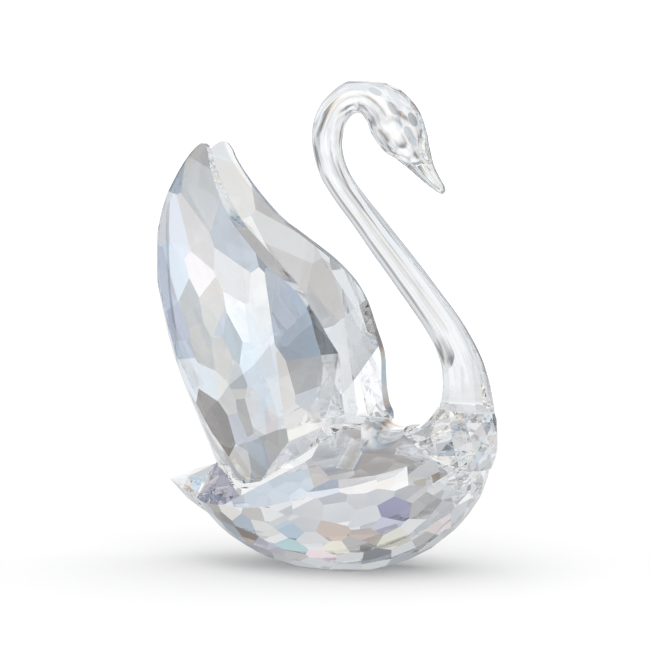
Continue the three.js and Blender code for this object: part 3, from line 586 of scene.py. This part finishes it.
neck = object_of("neck_and_head_drawn", tube)
chest = object_of("chest_tool", chest_mesh())
bond_point = Vector((21, 0, 22.9))
bond_normal = Vector((0.51, 0, 1)).normalized()
join = neck.modifiers.new("join", "BOOLEAN")
join.operation, join.object, join.solver = "UNION", chest, "EXACT"
bpy.context.view_layer.update()
dg = bpy.context.evaluated_depsgraph_get()
joined = bpy.data.meshes.new_from_object(neck.evaluated_get(dg))
neck.modifiers.clear()
bm = bmesh.new()
bm.from_mesh(joined)
slice_off(bm, bond_point + bond_normal * 0.20, -bond_normal)
bmesh.ops.transform(bm, matrix=Matrix.Scale(0.001, 4) @ Matrix.Translation(ORIGIN), verts=bm.verts)
bm.to_mesh(neck.data)
bm.free()
bpy.data.objects.remove(chest)
crisp(neck.data, math.radians(24))
neck.data.materials.append(drawn_crystal)
neck.data.materials.append(bond_face)
neck.data.materials.append(chest_crystal)
rng = random.Random(11)
# painted reflection-and-shade tones for the chest and crown facets; the smooth glass keeps plain white
ON_CHEST = [("clear", 2), ("pale", 4), ("mist", 3), ("silver", 3), ("beige", 1.5), ("taupe", 1.2), ("ice", 1), ("steel", 1)]
ON_CROWN = [("clear", 4), ("pale", 3), ("silver", 3), ("slate", 0.8), ("ash", 1.4), ("ice", 1)]
colours = {}
for p in neck.data.polygons:
    colours[p.index] = (1.0, 1.0, 1.0, 0.5)
for n, d, area, ps in facets(neck.data):
    low = ps[0].center.z < 0.0305
    mix = ON_CHEST if low else ON_CROWN
    tint = vary(rng, PAINTED_FACET_TONES[rng.choices([m[0] for m in mix], [m[1] for m in mix])[0]])
    for p in ps:
        colours[p.index] = tint
        p.material_index = 1 if glued(p) else 2 if low else 0
paint(neck.data, colours)
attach(neck, "root")
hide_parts("neck_and_head")
bm = bmesh.new()
bm.from_mesh(neck.data)
print("neck open edges", sum(1 for e in bm.edges if len(e.link_faces) != 2), "faces", len(bm.faces), "glued", sum(1 for p in neck.data.polygons if p.material_index == 1))
bm.free()

# ------------------------------------------------------------------ floor
floor_mesh = bpy.data.meshes.new("floor")
R = 0.26                              # a round table; the light tent goes on beyond its edge
floor_mesh.from_pydata([(R * math.cos(math.tau * i / 96), R * math.sin(math.tau * i / 96), 0) for i in range(96)], [], [tuple(range(96))])
floor = bpy.data.objects.new("floor", floor_mesh)
scene.collection.objects.link(floor)
floor.location.z = -0.00002
fm, ft = new_material("pale_floor")
fo = add(ft, "ShaderNodeOutputMaterial")
fd = add(ft, "ShaderNodeBsdfDiffuse")
fd.inputs["Color"].default_value = (0.90, 0.90, 0.90, 1)
# what the glass sees of the floor is a painted glow, not lit paper: bright paper with a painted soft shadow of the
# figurine in the middle, wobbled by noise, and no render noise
ftc = add(ft, "ShaderNodeTexCoord")
flen = add(ft, "ShaderNodeVectorMath", operation="LENGTH")
fwob = add(ft, "ShaderNodeTexNoise", Scale=34.0, Detail=1.0)
fsum = add(ft, "ShaderNodeMath", operation="MULTIPLY_ADD")
fsum.inputs[1].default_value = 0.090
floor_painted_shadow = add(ft, "ShaderNodeValToRGB")
fe = floor_painted_shadow.color_ramp.elements
fe[0].position, fe[0].color = 0.060, (0.36, 0.37, 0.385, 1)
fe[1].position, fe[1].color = 0.17, (0.90, 0.91, 0.92, 1)
fe.new(0.085).color = (0.64, 0.65, 0.67, 1)
ft.links.new(ftc.outputs["Object"], flen.inputs[0])
ft.links.new(ftc.outputs["Object"], fwob.inputs["Vector"])
ft.links.new(fwob.outputs[0], fsum.inputs[0])
ft.links.new(flen.outputs["Value"], fsum.inputs[2])
ft.links.new(fsum.outputs[0], floor_painted_shadow.inputs[0])
floor_painted_glow = add(ft, "ShaderNodeEmission")
ft.links.new(floor_painted_shadow.outputs[0], floor_painted_glow.inputs["Color"])
# the camera sees the lit diffuse floor; every other ray sees the painted glow
flp = add(ft, "ShaderNodeLightPath")
fmx = add(ft, "ShaderNodeMixShader")
ft.links.new(flp.outputs["Is Camera Ray"], fmx.inputs[0])
ft.links.new(floor_painted_glow.outputs[0], fmx.inputs[1])
ft.links.new(fd.outputs[0], fmx.inputs[2])
ft.links.new(fmx.outputs[0], fo.inputs["Surface"])
floor_mesh.materials.append(fm)

# ------------------------------------------------------------------ world
# A white light tent. What the glass mirrors has more contrast than what it lets through,
# as with dark cards that stand beside and in front of a lit backdrop.
world = bpy.data.worlds.new("studio")
scene.world = world
world.use_nodes = True
w = world.node_tree
w.nodes.clear()
direction = add(w, "ShaderNodeTexCoord").outputs["Generated"]


def link(a, b):
    w.links.new(a, b)


def vmath(op, a, b=None, value=None):
    n = add(w, "ShaderNodeVectorMath", operation=op)
    link(a, n.inputs[0])
    if b is not None:
        link(b, n.inputs[1])
    if value is not None:
        n.inputs[1].default_value = value
    return n.outputs[0]


def smath(op, a, b):
    n = add(w, "ShaderNodeMath", operation=op)
    for i, v in enumerate((a, b)):
        if isinstance(v, (int, float)):
            n.inputs[i].default_value = v
        elif v is not None:
            link(v, n.inputs[i])
    return n.outputs[0]


def cards(scale, split, stops, seed):
    """Soft-edged bright and dark areas; red, green and blue lie a little apart, which tints their edges."""
    tri = add(w, "ShaderNodeCombineColor")
    for k in range(3):
        v = vmath("ADD", direction, value=(seed + split * k, seed * 0.7, -seed + split * 0.6 * k))
        n = add(w, "ShaderNodeTexNoise", Scale=scale, Detail=1.5, Roughness=0.45)
        link(v, n.inputs["Vector"])
        r = add(w, "ShaderNodeValToRGB")
        e = r.color_ramp.elements
        e[0].position, e[0].color = stops[0][0], (stops[0][1],) * 3 + (1,)
        e[1].position, e[1].color = stops[-1][0], (stops[-1][1],) * 3 + (1,)
        for pos, val in stops[1:-1]:
            q = e.new(pos)
            q.color = (val,) * 3 + (1,)
        link(n.outputs[0], r.inputs[0])
        link(r.outputs[0], tri.inputs[k])
    return tri.outputs[0]


# the backdrop: four bright panels round the figurine, the middle of one behind it in the main view
xyz = add(w, "ShaderNodeSeparateXYZ")
link(direction, xyz.inputs[0])
around = smath("ARCTAN2", xyz.outputs[1], xyz.outputs[0])
wavy = smath("COSINE", smath("MULTIPLY", smath("SUBTRACT", around, math.radians(117.0)), 4.0), None)
panel = smath("MULTIPLY_ADD", wavy, 0.14)
panel.node.inputs[2].default_value = 0.86

through = cards(4.2, 0.008, [(0.33, 0.26), (0.41, 0.60), (0.47, 0.86), (0.53, 0.99), (0.64, 1.10)], 3.1)
mirrored = cards(4.0, 0.012, [(0.36, 0.12), (0.42, 0.38), (0.47, 0.72), (0.53, 1.00), (0.62, 1.34)], 8.4)

t_room = add(w, "ShaderNodeMix", data_type="RGBA", blend_type="MULTIPLY")
t_room.inputs[0].default_value = 1.0
link(through, t_room.inputs[6])
grey = add(w, "ShaderNodeCombineColor")
for k in range(3):
    link(panel, grey.inputs[k])
link(grey.outputs[0], t_room.inputs[7])

paths = add(w, "ShaderNodeLightPath")
room = add(w, "ShaderNodeMix", data_type="RGBA")
link(paths.outputs["Is Transmission Ray"], room.inputs[0])
link(mirrored, room.inputs[6])
link(t_room.outputs[2], room.inputs[7])
bg_room = add(w, "ShaderNodeBackground")
link(room.outputs[2], bg_room.inputs["Color"])
bg_room.inputs["Strength"].default_value = 1.0
bg_plain = add(w, "ShaderNodeBackground")
bg_plain.inputs["Color"].default_value = (1, 1, 1, 1)
bg_plain.inputs["Strength"].default_value = 1.2
plain = smath("MAXIMUM", paths.outputs["Is Camera Ray"], paths.outputs["Is Diffuse Ray"])
mix = add(w, "ShaderNodeMixShader")
link(plain, mix.inputs[0])
link(bg_room.outputs[0], mix.inputs[1])
link(bg_plain.outputs[0], mix.inputs[2])
link(mix.outputs[0], add(w, "ShaderNodeOutputWorld").inputs["Surface"])

# ------------------------------------------------------------------ film
scene.view_settings.view_transform = "Standard"
scene.view_settings.look = "None"
c = scene.cycles
c.max_bounces = 24
c.transmission_bounces = 24
c.glossy_bounces = 16
c.transparent_max_bounces = 16
c.diffuse_bounces = 3
c.use_denoising = True
c.sample_clamp_indirect = 6.0
